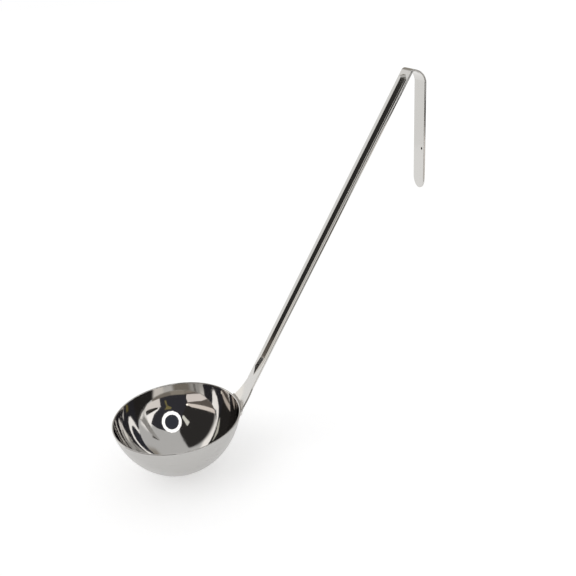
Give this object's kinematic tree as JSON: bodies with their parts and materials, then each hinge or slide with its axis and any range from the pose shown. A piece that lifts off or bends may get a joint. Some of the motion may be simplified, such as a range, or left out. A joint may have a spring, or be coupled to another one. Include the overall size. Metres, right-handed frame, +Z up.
{
  "type": "soup ladle",
  "caption": "Soup ladle: a deep round bowl on a long leaning strip handle with a pressed rib, bent over at the top into a hook that hangs on the rim of a pot.",
  "frame": {"origin": "middle of the hook tongue's inner face, which lies against the outside of a pot's wall when the ladle hangs on the pot's rim", "axes": "+Z up along the bowl's axis, as the ladle hangs, with the bowl's rim level; +X from the bowl towards the hook, in the plane of the handle; +Y completes the right-handed frame, across the strip"},
  "size_m": [0.2457, 0.0964, 0.279],
  "materials": {
    "bowl_steel": "stainless steel, mirror polished inside and on the rim, finely polished to a satin sheen outside",
    "handle_steel": "stainless steel strip, polished along its length, with rounded bright edges",
    "weld_steel": "stainless steel weld, ground and polished flush with the bowl and the neck"
  },
  "bodies": {
    "root": {"bowl": "bowl_steel", "handle": "handle_steel", "weld_seam": "weld_steel"}
  },
  "joints": []
}
